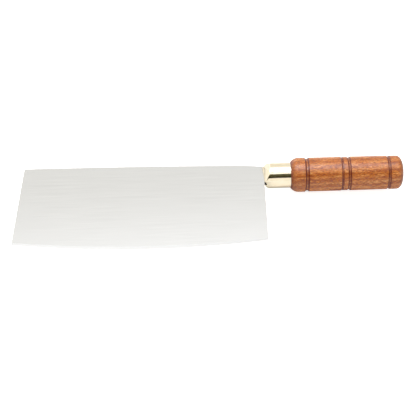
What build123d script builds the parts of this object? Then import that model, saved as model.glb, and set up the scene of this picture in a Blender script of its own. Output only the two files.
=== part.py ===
"""Chinese cleaver: stamped stainless blade, brass ferrule and turned hardwood handle.

Frame, in millimetres: the origin is on the handle's axis, in the plane of the blade's heel.
+X runs along the handle to its butt, +Y to the blade's spine, and +Z is square to the blade's face.
"""
from build123d import *
import math
import os

# Blade, seen square to its face
blade_length = 203.2
spine_height_tip = 14.8
spine_height_middle = 13.9
spine_height_neck = 12.0
spine_height_ferrule = 9.7
neck_fall_length = 21.0
neck_fall_sag = 0.35
edge_depth_tip = 68.6
edge_depth_belly = 76.4
edge_depth_heel = 70.5
tip_corner_radius = 1.0
heel_stand_off = 0.5

# Blade, seen along its edge
blade_thickness = 2.0
grind_height = 58.0
bevel_height = 2.4
bevel_shoulder_thickness = 0.8
edge_thickness = 0.12

# Stub of the blade inside the ferrule, pressed a little thinner than the blade
stub_thickness = 1.8
stub_width = 14.0
stub_length = 13.5
stub_corner_radius = 1.5

# Ferrule: a drawn brass cup whose closed front is pressed to two slanting faces
ferrule_diameter = 21.0
ferrule_wall = 0.9
ferrule_length = 22.2
nose_thickness = 3.2
nose_slant_degrees = 26.0
nose_edge_chamfer = 0.4
ferrule_rim_chamfer = 0.3
slot_clearance = 0.05

# Handle: one turned piece of wood with a tenon inside the ferrule
handle_diameter = 28.4
handle_length = 92.6
shoulder_start_diameter = 22.0
shoulder_length = 6.0
front_lobe_diameter = 28.7
butt_diameter = 27.9
butt_round_length = 5.2
butt_flat_diameter = 14.0
tenon_length = 15.0
tenon_clearance = 0.1
stub_pocket_clearance = 0.2

# Turned and scorched grooves: a broad one at the front, a fine and a middling one on each side of
# a low bead, and one before the butt. Places are middles, from the handle's shoulder or its butt
front_groove_place = 12.7
front_groove_width = 3.6
front_groove_floor = 1.4
front_groove_depth = 0.8
fine_groove_place = 41.6
fine_groove_width = 1.9
fine_groove_floor = 0.4
fine_groove_depth = 0.7
bead_width = 3.4
bead_diameter = 27.9
middle_groove_width = 3.0
middle_groove_floor = 1.1
middle_groove_depth = 0.8
butt_groove_place = 12.4
butt_groove_width = 2.8
butt_groove_floor = 1.0
butt_groove_depth = 0.8

# Tang: a round bar, slit at its front over the stub and peened at the butt
tang_diameter = 6.0
tang_bore_clearance = 0.3
tang_slit_depth = 9.5
tang_point_diameter = 4.0
tang_point_length = 2.0
peened_head_diameter = 9.0
peened_head_height = 1.2

# Washer let into the butt
washer_diameter = 13.0
washer_thickness = 1.2
washer_recess_clearance = 0.1
washer_hole_clearance = 0.1

# Overrun of every cutting body past the face that it cuts
overrun = 5.0

# Sizes worked out from the ones above
half_blade = blade_thickness / 2
ferrule_radius = ferrule_diameter / 2
ferrule_front = heel_stand_off
ferrule_back = ferrule_front + ferrule_length
handle_radius = handle_diameter / 2
handle_front = ferrule_back
handle_back = handle_front + handle_length
tang_radius = tang_diameter / 2
stub_end = ferrule_front + stub_length
washer_seat = handle_back - peened_head_height - washer_thickness
bead_front = handle_front + fine_groove_place + fine_groove_width / 2
bead_back = bead_front + bead_width

# Each groove's middle along the handle, its width, the width of its floor, and its depth
grooves = (
    (handle_front + front_groove_place, front_groove_width, front_groove_floor, front_groove_depth),
    (handle_front + fine_groove_place, fine_groove_width, fine_groove_floor, fine_groove_depth),
    (bead_back + middle_groove_width / 2, middle_groove_width, middle_groove_floor, middle_groove_depth),
    (handle_back - butt_groove_place, butt_groove_width, butt_groove_floor, butt_groove_depth),
)


def arc_centre(first, middle, last):
    """Centre and radius of the circle through three points in the blade's plane."""
    circle = ThreePointArc(first, middle, last)
    return circle.arc_center, circle.radius


def edge_points():
    """Heel corner, belly and tip corner of the curved cutting edge."""
    heel = (0, -edge_depth_heel)
    belly = (-blade_length / 2, -edge_depth_belly)
    tip = (-blade_length, -edge_depth_tip)
    return heel, belly, tip


def blade_outline():
    """The blade's flat outline from its tip to the ferrule, as one closed face."""
    spine_tip = (-blade_length, spine_height_tip)
    spine_middle = (-blade_length / 2, spine_height_middle)
    spine_neck = (-neck_fall_length, spine_height_neck)
    spine_end = (ferrule_front, spine_height_ferrule)
    fall_middle = (
        (spine_neck[0] + spine_end[0]) / 2,
        (spine_neck[1] + spine_end[1]) / 2 + neck_fall_sag,
    )
    heel, belly, tip = edge_points()
    outline = [
        ThreePointArc(spine_tip, spine_middle, spine_neck),
        ThreePointArc(spine_neck, fall_middle, spine_end),
        Polyline(
            spine_end,
            (ferrule_front, -spine_height_ferrule),
            (0, -spine_height_ferrule),
            heel,
        ),
        ThreePointArc(heel, belly, tip),
        Line(tip, spine_tip),
    ]
    face = make_face(outline)
    spine_corner = face.vertices().sort_by_distance(spine_tip)[0]
    return fillet(spine_corner, tip_corner_radius)


def grind_section(edge_radius):
    """Half of the blade's ground section, from its flat cheek down to the cutting edge.

    It is drawn in the XZ plane, with X as the distance from the middle of the edge's circle.
    """
    half_shoulder = bevel_shoulder_thickness / 2
    half_edge = edge_thickness / 2
    grind_start = (edge_radius - grind_height, half_blade)
    shoulder = (edge_radius - bevel_height, half_shoulder)
    cheek = (0, half_blade)
    upper = [
        Line(cheek, grind_start),
        TangentArc(grind_start, shoulder, tangent=(1, 0)),
        Line(shoulder, (edge_radius, half_edge)),
    ]
    lower = [mirror(line, about=Plane.XZ) for line in upper]
    ends = [
        Line((edge_radius, half_edge), (edge_radius, -half_edge)),
        Line(cheek, (0, -half_blade)),
    ]
    return Plane.XZ * make_face(upper + lower + ends)


def make_blade():
    """Blade: the stamped outline, ground convex below the cheeks and bevelled along the edge."""
    plate = extrude(blade_outline(), half_blade, both=True)
    centre, edge_radius = arc_centre(*edge_points())
    ground_disc = revolve(grind_section(edge_radius), Axis.Z)
    ground_plate = plate & (Pos(centre.X, centre.Y, 0) * ground_disc)
    return ground_plate + make_stub()


def make_stub():
    """The thinner stub that the blade carries into the ferrule, with its two far corners rounded."""
    stub = Pos(stub_end - stub_length / 2, 0, 0) * Box(stub_length, stub_width, stub_thickness)
    far_corners = stub.edges().filter_by(Axis.Z).group_by(Axis.X)[-1]
    return fillet(far_corners, stub_corner_radius)


def roofed_rod(radius, front, back, half_nose, edge_chamfer):
    """A rod along X whose front is cut to two slanting faces beside a narrow flat nose."""
    length = back - front
    rod = Plane.YZ.offset(front) * extrude(Circle(radius), length)
    rise = radius + overrun - half_nose
    run = rise * math.tan(math.radians(nose_slant_degrees))
    corner = (front, half_nose)
    wedge = Polygon(
        corner,
        (front + run, half_nose + rise),
        (front - overrun, half_nose + rise),
        (front - overrun, half_nose),
        align=None,
    )
    cutter = extrude(Plane.XZ * wedge, radius + overrun, both=True)
    rod = rod - cutter - mirror(cutter, about=Plane.XY)
    if edge_chamfer > 0:
        slanting = rod.faces().filter_by(GeomType.PLANE).sort_by(Axis.X)[1:-1]
        rod = chamfer(slanting.edges(), edge_chamfer)
    return rod


def make_ferrule():
    """Ferrule: a cup of even wall with a slot across its nose for the blade's stub."""
    half_nose = nose_thickness / 2
    outside = roofed_rod(ferrule_radius, ferrule_front, ferrule_back, half_nose, nose_edge_chamfer)
    inside = roofed_rod(
        ferrule_radius - ferrule_wall,
        ferrule_front + ferrule_wall,
        ferrule_back + overrun,
        half_nose,
        0,
    )
    slot_width = stub_width + 2 * slot_clearance
    slot_height = stub_thickness + 2 * slot_clearance
    slot = Pos(ferrule_front, 0, 0) * Box(2 * stub_length, slot_width, slot_height)
    cup = outside - inside - slot
    rim = cup.edges().filter_by(GeomType.CIRCLE).group_by(Axis.X)[-1].sort_by(SortBy.RADIUS)[-1]
    return chamfer(rim, ferrule_rim_chamfer)


def groove_cutter(middle, width, floor, depth):
    """A ring that leaves one turned groove with a flat floor and sloping walls."""
    floor_radius = handle_radius - depth
    top_radius = handle_radius + overrun
    widening = (width - floor) / 2 * (depth + overrun) / depth
    half_top = floor / 2 + widening
    section = Polygon(
        (middle - floor / 2, floor_radius),
        (middle + floor / 2, floor_radius),
        (middle + half_top, top_radius),
        (middle - half_top, top_radius),
        align=None,
    )
    return revolve(section, Axis.X)


def handle_profile():
    """Half of the handle's turned outline, from its tenon to its butt."""
    tenon_radius = ferrule_radius - ferrule_wall - tenon_clearance
    tenon_front = handle_front - tenon_length
    shoulder_radius = shoulder_start_diameter / 2
    lobe_radius = front_lobe_diameter / 2
    lobe_top = (handle_front + shoulder_length, lobe_radius)
    bead_radius = bead_diameter / 2
    front_groove = handle_front + front_groove_place
    fine_groove = handle_front + fine_groove_place
    middle_groove = bead_back + middle_groove_width / 2
    butt_radius = butt_diameter / 2
    butt_round_drop = (butt_diameter - butt_flat_diameter) / 2
    butt_round_start = (handle_back - butt_round_length, butt_radius)
    butt_round_middle = (butt_round_start[0], butt_radius - butt_round_drop)
    butt_flat_edge = (handle_back, butt_radius - butt_round_drop)
    lines = [
        Polyline(
            (tenon_front, 0),
            (tenon_front, tenon_radius),
            (handle_front, tenon_radius),
            (handle_front, shoulder_radius),
        ),
        TangentArc(lobe_top, (handle_front, shoulder_radius), tangent=(-1, 0)),
        Polyline(
            lobe_top,
            (front_groove, lobe_radius),
            (front_groove, handle_radius),
            (fine_groove, handle_radius),
            (fine_groove, bead_radius),
            (middle_groove, bead_radius),
            (middle_groove, handle_radius),
            butt_round_start,
        ),
        EllipticalCenterArc(butt_round_middle, butt_round_length, butt_round_drop, 0, arc_size=90),
        Polyline(butt_flat_edge, (handle_back, 0), (tenon_front, 0)),
    ]
    return make_face(lines)


def make_handle():
    """Handle: turned outside, bored for the tang, with a pocket for the stub and the washer."""
    wood = revolve(handle_profile(), Axis.X)
    for groove in grooves:
        wood -= groove_cutter(*groove)
    tenon_front = handle_front - tenon_length
    bore_radius = tang_radius + tang_bore_clearance
    bore = Plane.YZ.offset(tenon_front - overrun) * extrude(
        Circle(bore_radius), handle_back - tenon_front + 2 * overrun
    )
    pocket_end = stub_end + stub_pocket_clearance
    pocket_width = stub_width + 2 * stub_pocket_clearance
    pocket_height = stub_thickness + 2 * stub_pocket_clearance
    pocket_length = pocket_end - tenon_front + overrun
    pocket_middle = pocket_end - pocket_length / 2
    pocket = Pos(pocket_middle, 0, 0) * Box(pocket_length, pocket_width, pocket_height)
    recess_radius = washer_diameter / 2 + washer_recess_clearance
    recess = Plane.YZ.offset(washer_seat) * extrude(
        Circle(recess_radius), handle_back - washer_seat + overrun
    )
    return wood - bore - pocket - recess


def make_tang():
    """Tang: a round bar with a tapered, slit front and a peened, domed end."""
    front = stub_end - tang_slit_depth
    point_radius = tang_point_diameter / 2
    head_radius = peened_head_diameter / 2
    head_seat = washer_seat + washer_thickness
    head_edge = (head_seat, head_radius)
    head_top = (head_seat + peened_head_height, 0)
    dome_radius = (head_radius ** 2 + peened_head_height ** 2) / (2 * peened_head_height)
    dome_middle = head_radius / 2
    dome_height = math.sqrt(dome_radius ** 2 - dome_middle ** 2) - dome_radius + peened_head_height
    lines = [
        Polyline(
            (front, 0),
            (front, point_radius),
            (front + tang_point_length, tang_radius),
            (head_seat, tang_radius),
            head_edge,
        ),
        ThreePointArc(head_edge, (head_seat + dome_height, dome_middle), head_top),
        Line(head_top, (front, 0)),
    ]
    bar = revolve(make_face(lines), Axis.X)
    slit_length = tang_slit_depth + overrun
    slit = Pos(stub_end - slit_length / 2, 0, 0) * Box(slit_length, tang_diameter, stub_thickness)
    return bar - slit


def make_butt_washer():
    """Washer: a flat ring that spreads the pull of the peened tang over the wood."""
    hole_radius = tang_radius + washer_hole_clearance
    ring = Circle(washer_diameter / 2) - Circle(hole_radius)
    return Plane.YZ.offset(washer_seat) * extrude(ring, washer_thickness)


makers = {
    "blade": make_blade,
    "tang": make_tang,
    "ferrule": make_ferrule,
    "handle": make_handle,
    "butt_washer": make_butt_washer,
}

os.makedirs("parts", exist_ok=True)
for name, maker in makers.items():
    export_step(maker(), f"parts/{name}.step")
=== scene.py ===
"""Chinese cleaver: a ground stainless blade, a polished brass ferrule and a turned hardwood handle.

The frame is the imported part's. The origin is on the handle's axis in the plane of the blade's heel,
+X runs along the handle to its butt, +Y to the blade's spine, and +Z is square to the blade's face.
Sizes in the classes are millimetres; MM turns them to Blender's metres when a mesh is finished.
"""
import logging
import math
from collections.abc import Callable, Sequence
from dataclasses import dataclass
from enum import Enum, IntEnum
from functools import partial
from itertools import pairwise

import bmesh
import bpy
from mathutils import Matrix, Vector


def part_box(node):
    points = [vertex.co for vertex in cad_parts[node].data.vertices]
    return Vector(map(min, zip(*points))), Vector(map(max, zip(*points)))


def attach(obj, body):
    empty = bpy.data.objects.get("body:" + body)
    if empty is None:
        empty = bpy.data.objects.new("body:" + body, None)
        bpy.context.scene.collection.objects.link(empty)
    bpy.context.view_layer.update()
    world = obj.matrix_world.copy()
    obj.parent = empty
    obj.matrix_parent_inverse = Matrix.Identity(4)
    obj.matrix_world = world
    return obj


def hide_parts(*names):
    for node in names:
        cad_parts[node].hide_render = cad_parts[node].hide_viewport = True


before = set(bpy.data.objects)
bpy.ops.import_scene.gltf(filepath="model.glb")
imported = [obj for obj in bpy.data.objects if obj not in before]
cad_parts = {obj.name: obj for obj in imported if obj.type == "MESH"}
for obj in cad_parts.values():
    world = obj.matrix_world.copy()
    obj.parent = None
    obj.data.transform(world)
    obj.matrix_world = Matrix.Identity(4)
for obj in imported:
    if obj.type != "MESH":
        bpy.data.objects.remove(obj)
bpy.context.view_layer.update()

LOG = logging.getLogger("cleaver")
MM = 0.001
QUARTER_TURN = math.pi / 2
# Points of a cut piece that are closer than this are one point
WELD = 0.002 * MM
# Held under a divisor that can come to nothing
TINY = 0.001
BODY = "root"

Colour = tuple[float, float, float, float]
Drawing = bmesh.types.BMesh
Outline = list[tuple[float, float]]
Piece = bpy.types.Object
Socket = bpy.types.NodeSocket
NodeAdder = Callable[..., Socket]
# The lowest and highest value that come in, and what each of them becomes
Range = tuple[float, float, float, float]
# Places and sRGB colours of a ramp
Stops = tuple[tuple[float, str], ...]


class Slot(Enum):
    """The record's material slots."""

    BLADE = "blade_steel"
    TANG = "tang_steel"
    FERRULE = "ferrule_brass"
    HANDLE = "handle_wood"
    WASHER = "washer_brass"


class ColourMix(IntEnum):
    """Places of a Mix node's inputs and output when it is set to colours."""

    SHARE = 0
    FIRST = 6
    SECOND = 7
    RESULT = 2


# Nodes and materials


def linear(hex_colour: str) -> Colour:
    """Turns an sRGB colour into the linear one that nodes take.

    Args:
        hex_colour: Colour such as "#B07040".

    Returns:
        Red, green, blue and an alpha of one.
    """
    channels = [int(hex_colour[place : place + 2], 16) / 255 for place in (1, 3, 5)]
    straight = [
        value / 12.92 if value <= 0.04045 else ((value + 0.055) / 1.055) ** 2.4 for value in channels
    ]
    return (straight[0], straight[1], straight[2], 1.0)


def add_node(
    tree: bpy.types.NodeTree,
    kind: str,
    feeds: Sequence[object] | dict[str | int, object] = (),
    out: str | int = 0,
    stops: Stops = (),
    **settings: object,
) -> Socket | None:
    """Adds one node with its settings, values and links.

    Args:
        tree: Node tree that gets the node.
        kind: Blender's name for the kind of node.
        feeds: Value or output socket for each input, in order or by the input's name or place.
        out: Name or place of the wanted output.
        stops: Stops of a colour ramp, from low to high.
        **settings: Properties of the node, set before its inputs.

    Returns:
        The wanted output, whose node holds the others, or None from a node without outputs.
    """
    node = tree.nodes.new(kind)
    for name, value in settings.items():
        setattr(node, name, value)
    by_place = feeds if isinstance(feeds, dict) else dict(enumerate(feeds))
    for place, source in by_place.items():
        if isinstance(source, Socket):
            tree.links.new(source, node.inputs[place])
        else:
            node.inputs[place].default_value = source
    for number, (position, colour) in enumerate(stops):
        ramp = node.color_ramp.elements
        stop = ramp[number] if number < 2 else ramp.new(position)
        stop.position = position
        stop.color = linear(colour)
    return node.outputs[out] if node.outputs else None


@dataclass(frozen=True)
class Pattern:
    """A pattern with the real size of one grain along X, Y and Z, in millimetres."""

    grain: tuple[float, float, float]
    detail: float = 2.0
    kind: str = "ShaderNodeTexNoise"
    out: str | int = 0
    inputs: tuple[tuple[str, float], ...] = ()
    settings: tuple[tuple[str, str], ...] = ()

    @classmethod
    def even(cls, size: float, detail: float = 2.0) -> "Pattern":
        """A pattern whose grain has the same size all ways."""
        return cls((size, size, size), detail)

    @classmethod
    def fibrous(cls, length: float, width: float, detail: float) -> "Pattern":
        """A rougher pattern that is drawn out along wood's grain."""
        return cls((length, width, width), detail, inputs=(("Roughness", 0.6),))

    def draw(self, add: NodeAdder, place: Socket) -> Socket:
        """Draws the pattern on a place that is scaled so that one unit is one grain.

        Args:
            add: add_node for the material's tree.
            place: Where on the piece, in metres.

        Returns:
            The pattern's value.
        """
        scale = [1 / (size * MM) for size in self.grain]
        scaled = add("ShaderNodeMapping", {"Vector": place, "Scale": scale})
        feeds = {"Vector": scaled, "Scale": 1.0, "Detail": self.detail, **dict(self.inputs)}
        return add(self.kind, feeds, self.out, **dict(self.settings))


@dataclass(frozen=True)
class Relief:
    """Depth of a relief in millimetres, its strength, and its pattern if it has its own."""

    depth: float
    strength: float = 1.0
    pattern: Pattern | None = None


@dataclass(frozen=True)
class Finish:
    """What a surface is made of and how it was worked."""

    name: str

    def material(self) -> bpy.types.Material:
        """Makes the finish's material on Object coordinates.

        Returns:
            The material.
        """
        material = bpy.data.materials.new(self.name)
        material.use_nodes = True
        material.node_tree.nodes.clear()
        add = partial(add_node, material.node_tree)
        place = add("ShaderNodeTexCoord", out="Object")
        add("ShaderNodeOutputMaterial", {"Surface": self.surface(add, place)})
        return material

    def surface(self, add: NodeAdder, place: Socket) -> Socket:
        """Builds the shader at a place, with add_node for the tree, and returns its output."""
        raise NotImplementedError


@dataclass(frozen=True)
class Metal(Finish):
    """Metal whose tone and gloss follow a mottle, over one or more reliefs."""

    mottle: Pattern
    tones: Stops
    gloss: Range
    reliefs: tuple[Relief, ...]
    clouds: tuple[Pattern, ...] = ()
    metallic: float = 1.0

    def surface(self, add: NodeAdder, place: Socket) -> Socket:
        """Draws the mottle in tone, the mottle with the clouds in gloss, and then the reliefs.

        Args:
            add: add_node for the material's tree.
            place: Object coordinates in metres.

        Returns:
            The shader.
        """
        mottle = self.mottle.draw(add, place)
        sheen = mottle
        for cloud in self.clouds:
            sheen = add("ShaderNodeMath", (sheen, cloud.draw(add, place)), operation="ADD")
        coat = {
            "Base Color": add("ShaderNodeValToRGB", (mottle,), stops=self.tones),
            "Metallic": self.metallic,
            "Roughness": add("ShaderNodeMapRange", (sheen, *self.gloss)),
        }
        bent: dict[str, Socket] = {}
        for relief in self.reliefs:
            height = relief.pattern.draw(add, place) if relief.pattern else mottle
            feeds = {"Height": height, "Distance": relief.depth * MM, "Strength": relief.strength}
            bent = {"Normal": add("ShaderNodeBump", feeds | bent)}
        return add("ShaderNodeBsdfPrincipled", coat | bent)


@dataclass(frozen=True)
class BeltGroundStainless(Metal):
    """Stainless sheet, belt-ground along its length: a pale satin with fine straight lines."""

    # Real belt scratches are about 0.1 mm wide; they are drawn at 0.3 mm so that they show
    mottle: Pattern = Pattern((38.0, 0.3, 0.3), 3.0)
    tones: Stops = ((0.3, "#DDDDDC"), (0.7, "#E4E4E3"))
    gloss: Range = (0.6, 1.4, 0.21, 0.27)
    reliefs: tuple[Relief, ...] = (Relief(0.0012),)
    clouds: tuple[Pattern, ...] = (Pattern.even(45.0),)


@dataclass(frozen=True)
class WhettedStainless(BeltGroundStainless):
    """The same sheet whetted on a stone along its edge: short scratches that run off the edge."""

    mottle: Pattern = Pattern((0.3, 2.0, 2.0), 3.0)
    gloss: Range = (0.6, 1.4, 0.2, 0.3)


@dataclass(frozen=True)
class PolishedBrass(Metal):
    """Drawn brass cup, buffed: a pale yellow mirror with a little haze and soft hammered dents."""

    mottle: Pattern = Pattern.even(5.0, 3.0)
    tones: Stops = ((0.3, "#F6E8CC"), (0.65, "#FAEFD8"))
    gloss: Range = (0.3, 0.7, 0.07, 0.14)
    # Buffing lines run round the cup and are some 0.05 mm wide; they are drawn at 0.15 mm
    reliefs: tuple[Relief, ...] = (
        Relief(0.05, pattern=Pattern.even(5.0, 0.0)),
        Relief(0.0003, pattern=Pattern((0.15, 6.0, 6.0))),
    )


@dataclass(frozen=True)
class PaintedShadeBrass(Metal):
    """Inside of the cup and walls of its mouth: a dull brown-black painted shade that makes the mouth
    a dark hole.
    """

    mottle: Pattern = Pattern.even(0.8)
    tones: Stops = ((0.3, "#3A2714"), (0.6, "#160D06"))
    gloss: Range = (0.3, 0.7, 0.55, 0.85)
    reliefs: tuple[Relief, ...] = (Relief(0.03, 0.8),)
    # The painted shade is dull, not metal
    metallic: float = 0.0


@dataclass(frozen=True)
class DrawnSteelBar(Metal):
    """Plain drawn steel bar: a duller grey than the blade, mottled where it was hammered."""

    mottle: Pattern = Pattern.even(1.4, 3.0)
    tones: Stops = ((0.3, "#8E8C87"), (0.7, "#B9B8B4"))
    gloss: Range = (0.3, 0.7, 0.5, 0.32)
    reliefs: tuple[Relief, ...] = (Relief(0.06, 0.8),)


@dataclass(frozen=True)
class DullBrass(Metal):
    """Stamped brass washer, gone dull: deeper yellow than the ferrule, with a soft bloom."""

    mottle: Pattern = Pattern.even(2.0, 4.0)
    tones: Stops = ((0.35, "#A98748"), (0.65, "#D9BE7C"))
    gloss: Range = (0.3, 0.7, 0.45, 0.28)
    # Turning marks run round the washer; they are drawn 0.2 mm wide
    reliefs: tuple[Relief, ...] = (
        Relief(
            0.01,
            0.5,
            Pattern(
                (0.6, 0.6, 0.6),
                kind="ShaderNodeTexWave",
                out="Fac",
                settings=(("wave_type", "RINGS"), ("rings_direction", "X")),
            ),
        ),
    )


@dataclass(frozen=True)
class OiledHardwood(Finish):
    """Reddish-brown tropical hardwood, turned, sanded and oiled.

    Wavy amber and dark streaks and short open pores run along the grain, under a satin oil film
    that shows a broad milky light where the lamp is mirrored. End grain is darker, and the wood in
    the grooves is burnt dark by the wire that was held in them. The same burnt colour also paints
    shade: darker on the grooves' walls than on their floors, and in the seam against the ferrule.
    """

    tones: Stops = (
        (0.38, "#7A3510"),
        (0.45, "#B35B21"),
        (0.50, "#CE732E"),
        (0.55, "#E59047"),
        (0.62, "#F9BC7A"),
    )
    dash: str = "#944A1A"
    pore: str = "#7C3A10"
    end_grain: str = "#843A12"
    # Colour of the burn, which also paints shade on the groove walls and in the ferrule seam
    burnt: str = "#702400"
    streaks: Pattern = Pattern.fibrous(3.6, 0.45, 3.0)
    fibres: Pattern = Pattern.fibrous(2.0, 0.3, 1.0)
    figure: Pattern = Pattern.fibrous(24.0, 4.5, 2.0)
    dashes: Pattern = Pattern.fibrous(3.2, 0.6, 1.0)
    pores: Pattern = Pattern((3.2, 0.36, 0.36), 0.0, "ShaderNodeTexVoronoi", "Distance")
    char: Pattern = Pattern.fibrous(2.2, 2.2, 2.0)
    waves: Pattern = Pattern((12.0, 5.0, 5.0), 1.0, out="Color")
    wave_height: float = 1.6
    fibre_share: float = 0.35
    ring_share: float = 0.1
    figure_share: float = 0.12
    dash_range: Range = (0.55, 0.66, 0.0, 0.7)
    pore_range: Range = (0.18, 0.4, 0.7, 0.0)
    end_range: Range = (0.2, 0.95, 0.0, 0.8)
    char_range: Range = (0.35, 0.62, 1.3, 0.55)
    gloss: Range = (0.3, 0.7, 0.38, 0.17)
    ring_spacing: float = 2.6
    ring_waver: float = 3.0
    heart_y: float = -31.0
    heart_z: float = -24.0
    grain_tilt_degrees: float = 1.5
    relief: Relief = Relief(0.05, 0.7)
    oil_ior: float = 1.5
    oil_specular: float = 0.6

    def surface(self, add: NodeAdder, place: Socket) -> Socket:
        """Mixes rings, figure and streaks into a tone, then dashes, pores, ends, burn and painted
        shade.

        Args:
            add: add_node for the material's tree.
            place: Object coordinates in metres.

        Returns:
            The shader.
        """
        grain = self.wavy_grain(add, place)
        along_grain = (self.streaks, self.fibres, self.figure, self.dashes, self.pores)
        streaks, fibres, figure, dashes, cells = (
            pattern.draw(add, grain) for pattern in along_grain
        )
        rings = self.rings(add, grain, figure)
        even = streaks
        for pattern, share in (
            (fibres, self.fibre_share),
            (rings, self.ring_share),
            (figure, self.figure_share),
        ):
            even = add("ShaderNodeMix", {"Factor": share, "A": even, "B": pattern})
        pores = add("ShaderNodeMapRange", (cells, *self.pore_range))
        facing = add("ShaderNodeNewGeometry", out="Normal")
        along = add("ShaderNodeSeparateXYZ", (facing,), "X")
        ends = add("ShaderNodeMath", (along,), operation="ABSOLUTE")
        # Burn in the grooves, with painted shade on their walls and in the seam against the ferrule
        scorch = add("ShaderNodeAttribute", out="Fac", attribute_name="scorch")
        patches = add("ShaderNodeMapRange", (self.char.draw(add, place), *self.char_range))
        charred_and_shaded = add("ShaderNodeMath", (scorch, patches), operation="MULTIPLY", use_clamp=True)
        colour = add("ShaderNodeValToRGB", (even,), stops=self.tones)
        for share, stain in (
            (add("ShaderNodeMapRange", (dashes, *self.dash_range)), self.dash),
            (pores, self.pore),
            (add("ShaderNodeMapRange", (ends, *self.end_range)), self.end_grain),
            (charred_and_shaded, self.burnt),
        ):
            feeds = {ColourMix.SHARE: share, ColourMix.FIRST: colour, ColourMix.SECOND: linear(stain)}
            colour = add("ShaderNodeMix", feeds, ColourMix.RESULT, data_type="RGBA")
        height = add("ShaderNodeMath", (streaks, pores), operation="SUBTRACT")
        feeds = {
            "Height": height,
            "Distance": self.relief.depth * MM,
            "Strength": self.relief.strength,
        }
        coat = {
            "Base Color": colour,
            "Roughness": add("ShaderNodeMapRange", (streaks, *self.gloss)),
            "Normal": add("ShaderNodeBump", feeds),
            "IOR": self.oil_ior,
            "Specular IOR Level": self.oil_specular,
        }
        return add("ShaderNodeBsdfPrincipled", coat)

    def wavy_grain(self, add: NodeAdder, place: Socket) -> Socket:
        """Follows a grain that is a little out of line with the handle and wavy.

        Args:
            add: add_node for the material's tree.
            place: Object coordinates in metres.

        Returns:
            The place in the grain.
        """
        tilt = math.radians(self.grain_tilt_degrees)
        straight = add("ShaderNodeMapping", {"Vector": place, "Rotation": (0.0, tilt, -tilt)})
        waves = self.waves.draw(add, straight)
        middled = add("ShaderNodeVectorMath", (waves, (0.5, 0.5, 0.5)), operation="SUBTRACT")
        sway = (0.0, self.wave_height * MM, self.wave_height * MM)
        return add("ShaderNodeVectorMath", (middled, sway, straight), operation="MULTIPLY_ADD")

    def rings(self, add: NodeAdder, grain: Socket, figure: Socket) -> Socket:
        """Draws growth rings round a heart that lies beside the handle.

        Args:
            add: add_node for the material's tree.
            grain: Place in the grain, in metres.
            figure: The wood's slow figure, with which the rings waver.

        Returns:
            From zero to one and back over each two rings.
        """
        shift = (0.0, -self.heart_y * MM, -self.heart_z * MM)
        feeds = {"Vector": grain, "Location": shift, "Scale": (0.0, 1.0, 1.0)}
        around = add("ShaderNodeMapping", feeds)
        reach = add("ShaderNodeVectorMath", (around,), "Value", operation="LENGTH")
        rings = 1 / (self.ring_spacing * MM)
        count = add("ShaderNodeMath", (reach, rings), operation="MULTIPLY")
        wavering = (figure, self.ring_waver, count)
        uneven = add("ShaderNodeMath", wavering, operation="MULTIPLY_ADD")
        return add("ShaderNodeMath", (uneven, 1.0), operation="PINGPONG")


@dataclass(frozen=True)
class StudioPaper(Finish):
    """White seamless paper, see-through from below, that stays white to the camera."""

    colour: str = "#F2F2F0"
    lift: float = 0.85
    glossy_lift: float = 0.14

    def surface(self, add: NodeAdder, place: Socket) -> Socket:
        """Lifts diffuse paper for the camera, and keeps the object's soft shadow.

        Args:
            add: add_node for the material's tree.
            place: Object coordinates, which plain paper doesn't need.

        Returns:
            The shader.
        """
        paper = add("ShaderNodeBsdfDiffuse", {"Color": linear(self.colour)})
        path = add("ShaderNodeLightPath").node.outputs
        mirrors = (path["Is Glossy Ray"], path["Is Transmission Ray"])
        mirror = add("ShaderNodeMath", mirrors, operation="MAXIMUM")
        faint = add("ShaderNodeMath", (mirror, self.glossy_lift), operation="MULTIPLY")
        lifted = (path["Is Camera Ray"], self.lift, faint)
        strength = add("ShaderNodeMath", lifted, operation="MULTIPLY_ADD")
        glow = add("ShaderNodeEmission", {"Strength": strength})
        sheet = add("ShaderNodeAddShader", (paper, glow))
        clear = add("ShaderNodeBsdfTransparent")
        below = add("ShaderNodeNewGeometry", out="Backfacing")
        return add("ShaderNodeMixShader", (below, sheet, clear))


@dataclass(frozen=True)
class BlackFlag(Finish):
    """Black felt flag, which draws the dark line in polished metal, darkest near its foot."""

    foot_height: float = 0.13
    top_height: float = 0.28
    tones: Stops = ((0.0, "#3A3625"), (0.35, "#494533"), (0.6, "#5E5C42"), (0.85, "#6E6C56"))

    def surface(self, add: NodeAdder, place: Socket) -> Socket:
        """Makes dull felt whose tone rises with its height over the floor.

        Args:
            add: add_node for the material's tree.
            place: Object coordinates in metres.

        Returns:
            The shader.
        """
        height = add("ShaderNodeSeparateXYZ", (place,), "Z")
        share = add("ShaderNodeMapRange", (height, self.foot_height, self.top_height))
        tone = add("ShaderNodeValToRGB", (share,), stops=self.tones)
        return add("ShaderNodeBsdfDiffuse", {"Color": tone})


# Meshes


def frame_box(node: str) -> tuple[Vector, Vector]:
    """Lowest and highest corner of a CAD node, in millimetres."""
    low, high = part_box(node)
    return low / MM, high / MM


def smooth_step(value: float) -> float:
    """Eases from zero to one, flat at both ends, for a value held between them."""
    held = min(max(value, 0.0), 1.0)
    return held * held * (3 - 2 * held)


def steps(first: float, last: float, count: int) -> list[float]:
    """Even places from the first to the last, both of them included."""
    return [first + (last - first) * number / count for number in range(count + 1)]


def arc(
    centre: tuple[float, float], radii: tuple[float, float], first: float, last: float, count: int
) -> Outline:
    """Points along an arc of a circle or an ellipse.

    Args:
        centre: The arc's centre.
        radii: Its radius along X and across.
        first: Where it starts, in radians from straight up towards +X.
        last: Where it ends.
        count: Number of steps.

    Returns:
        The points, both ends included.
    """
    return [
        (centre[0] + radii[0] * math.sin(turn), centre[1] + radii[1] * math.cos(turn))
        for turn in steps(first, last, count)
    ]


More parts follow.
